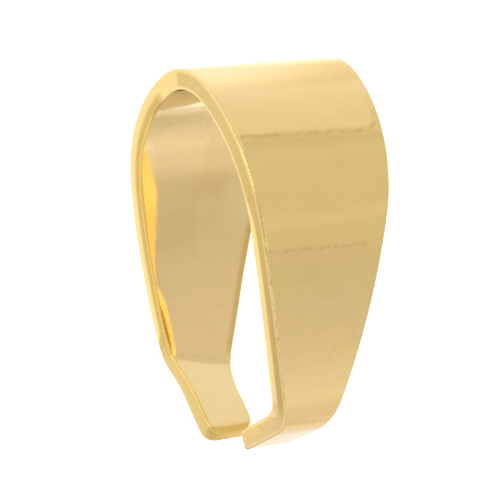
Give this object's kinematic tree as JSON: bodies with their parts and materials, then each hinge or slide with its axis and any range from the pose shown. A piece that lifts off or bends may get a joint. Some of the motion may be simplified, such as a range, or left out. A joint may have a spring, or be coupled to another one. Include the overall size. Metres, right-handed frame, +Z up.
{
  "type": "pinch bail finding",
  "caption": "Pinch bail: a broad strip of plated brass bent into a loop for a chain, tapering to two inturned grip tabs that close on a pendant.",
  "frame": {"origin": "middle of the box's underside, on the surface that the bail lies on", "axes": "+X along the loop's axis, +Y from the grip tabs to the crown, +Z up, out through the front arm"},
  "size_m": [0.0046, 0.01, 0.0061],
  "materials": {
    "gold_plate": "thin pale gold plating on tumbled brass, soft gloss with fine pits"
  },
  "bodies": {
    "root": {"bail": "gold_plate"}
  },
  "joints": []
}
